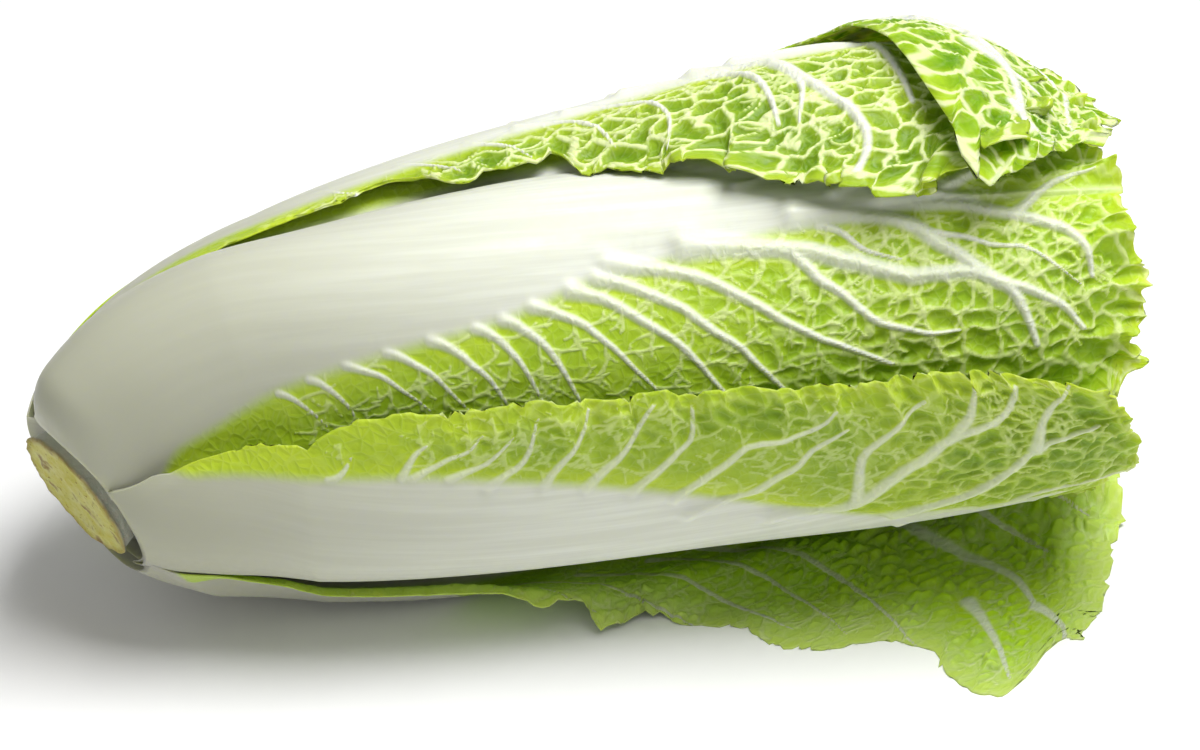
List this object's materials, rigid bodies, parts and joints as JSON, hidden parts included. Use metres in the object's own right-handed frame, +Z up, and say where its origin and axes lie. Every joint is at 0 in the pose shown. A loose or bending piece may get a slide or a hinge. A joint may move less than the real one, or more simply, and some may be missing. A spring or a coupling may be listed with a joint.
{
  "type": "napa cabbage",
  "caption": "Head of napa cabbage lying on its side: thick pale ribs and crinkled yellow-green leaves wrapped round a cut core.",
  "frame": {"origin": "centre of the head's box in X and Y, on the surface it lies on", "axes": "+X from the cut butt to the leaf tips, +Y to the head's back, +Z up"},
  "size_m": [0.2996, 0.1511, 0.1472],
  "materials": {
    "core": "matte",
    "outer_leaf": "satin",
    "inner_leaf": "satin"
  },
  "bodies": {
    "root": {"core": "core", "outer_leaf_underneath": "outer_leaf", "outer_leaf_back_top": "outer_leaf", "outer_leaf_front_low": "outer_leaf", "outer_leaf_back_low": "outer_leaf", "outer_leaf_top": "outer_leaf", "wrapper_leaf_front_low": "outer_leaf", "wrapper_leaf_back": "outer_leaf", "wrapper_leaf_front_high": "outer_leaf", "inner_leaf_09": "inner_leaf", "inner_leaf_10": "inner_leaf", "inner_leaf_11": "inner_leaf", "inner_leaf_12": "inner_leaf", "inner_leaf_13": "inner_leaf", "inner_leaf_14": "inner_leaf", "inner_leaf_15": "inner_leaf", "inner_leaf_16": "inner_leaf", "inner_leaf_17": "inner_leaf", "inner_leaf_18": "inner_leaf", "inner_leaf_19": "inner_leaf", "inner_leaf_20": "inner_leaf", "inner_leaf_21": "inner_leaf", "inner_leaf_22": "inner_leaf"}
  },
  "joints": []
}
